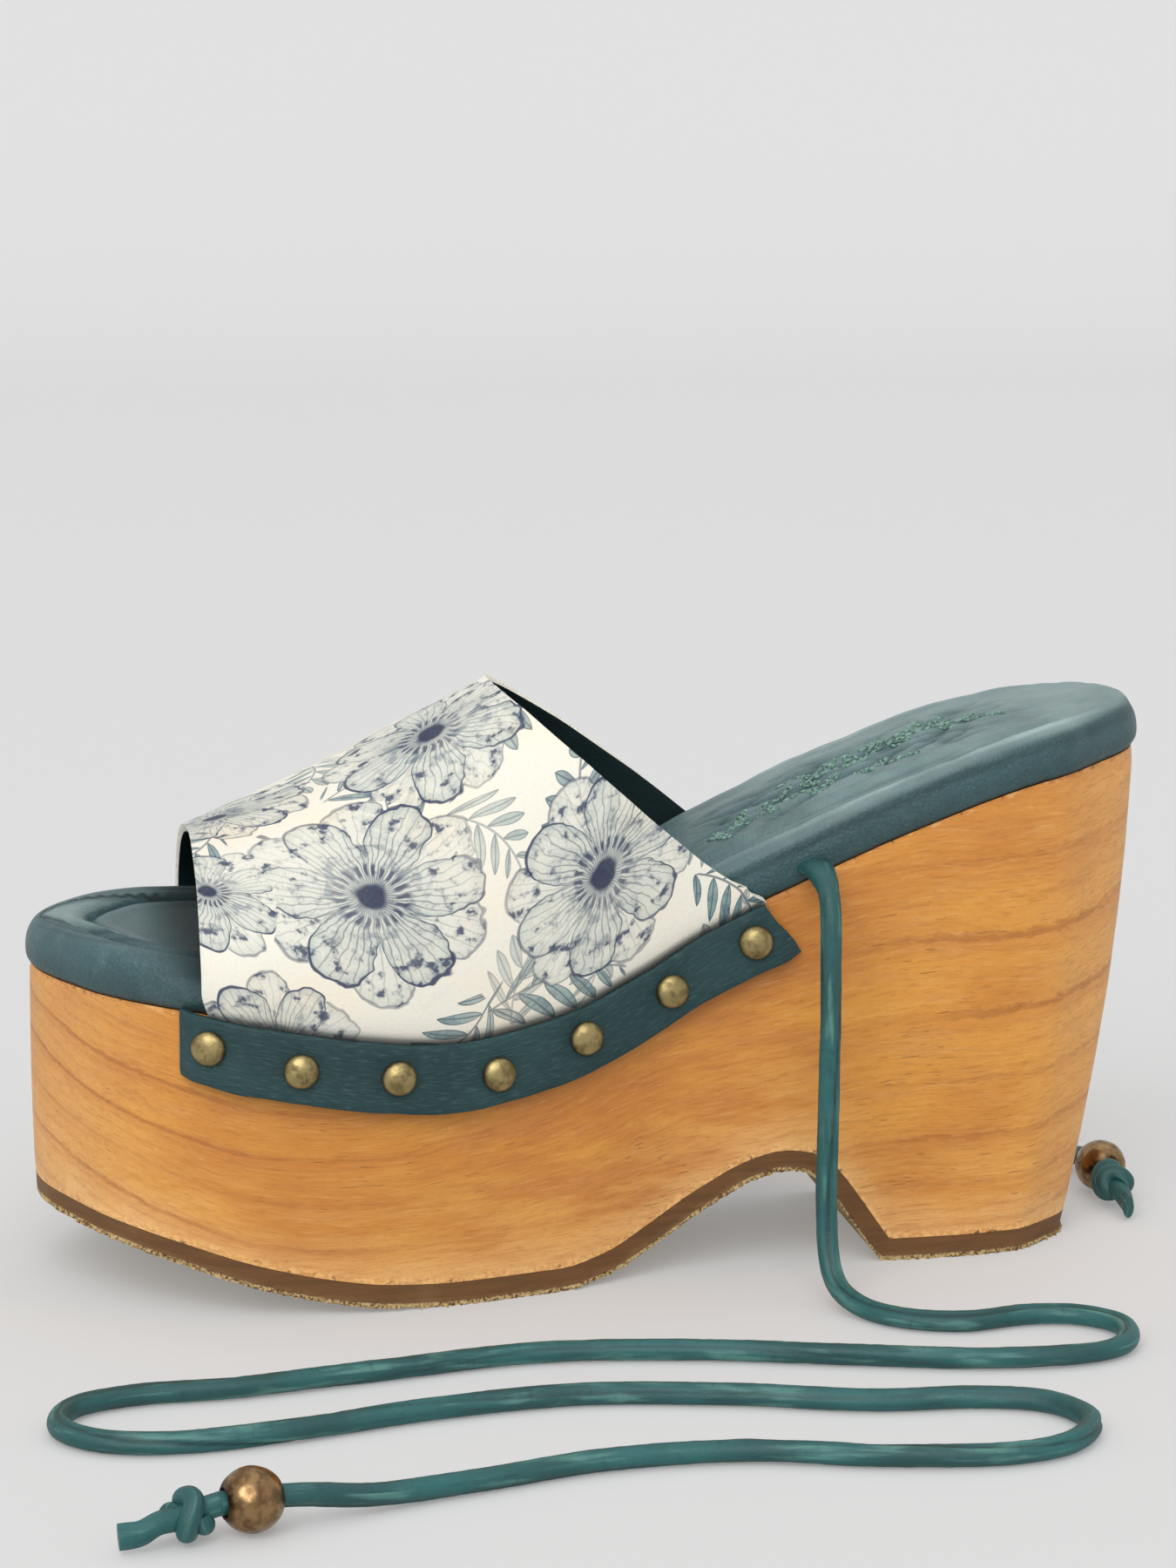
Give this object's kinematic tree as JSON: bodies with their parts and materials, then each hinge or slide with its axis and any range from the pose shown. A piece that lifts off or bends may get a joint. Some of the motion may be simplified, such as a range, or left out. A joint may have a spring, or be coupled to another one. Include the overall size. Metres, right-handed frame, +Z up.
{
  "type": "platform clog",
  "caption": "Left wooden platform clog with a block heel, padded footbed, open-toe leather band upper held by nailed side strips, and long ankle ties ending in beads and knots.",
  "frame": {"origin": "on the floor, under the middle of the shoe's box without its ties", "axes": "+X towards the heel, -X towards the toe, -Y the lateral (outer) side of this left shoe, +Y the medial side, +Z up"},
  "size_m": [0.256, 0.3099, 0.1286],
  "materials": {
    "wood": "stained and oiled, satin",
    "tread": "cut sheet, matte, rough lower edge",
    "footbed_leather": "smooth padded leather with a soft sheen",
    "printed_leather": "printed, matte",
    "strip_leather": "matte, fine lengthwise grain",
    "nail_brass": "antiqued",
    "tie_leather": "round cord, slightly glossy",
    "bead_bronze": "antique bronze, polished"
  },
  "bodies": {
    "root": {"wood_block": "wood", "outsole": "tread", "footbed": "footbed_leather", "upper": "printed_leather", "strip_lateral": "strip_leather", "nail_lateral_1": "nail_brass", "nail_lateral_2": "nail_brass", "nail_lateral_3": "nail_brass", "nail_lateral_4": "nail_brass", "nail_lateral_5": "nail_brass", "nail_lateral_6": "nail_brass", "nail_lateral_7": "nail_brass", "tie_lateral": "tie_leather", "bead_lateral": "bead_bronze", "knot_lateral": "tie_leather", "strip_medial": "strip_leather", "nail_medial_1": "nail_brass", "nail_medial_2": "nail_brass", "nail_medial_3": "nail_brass", "nail_medial_4": "nail_brass", "nail_medial_5": "nail_brass", "nail_medial_6": "nail_brass", "nail_medial_7": "nail_brass", "tie_medial": "tie_leather", "bead_medial": "bead_bronze", "knot_medial": "tie_leather"}
  },
  "joints": []
}
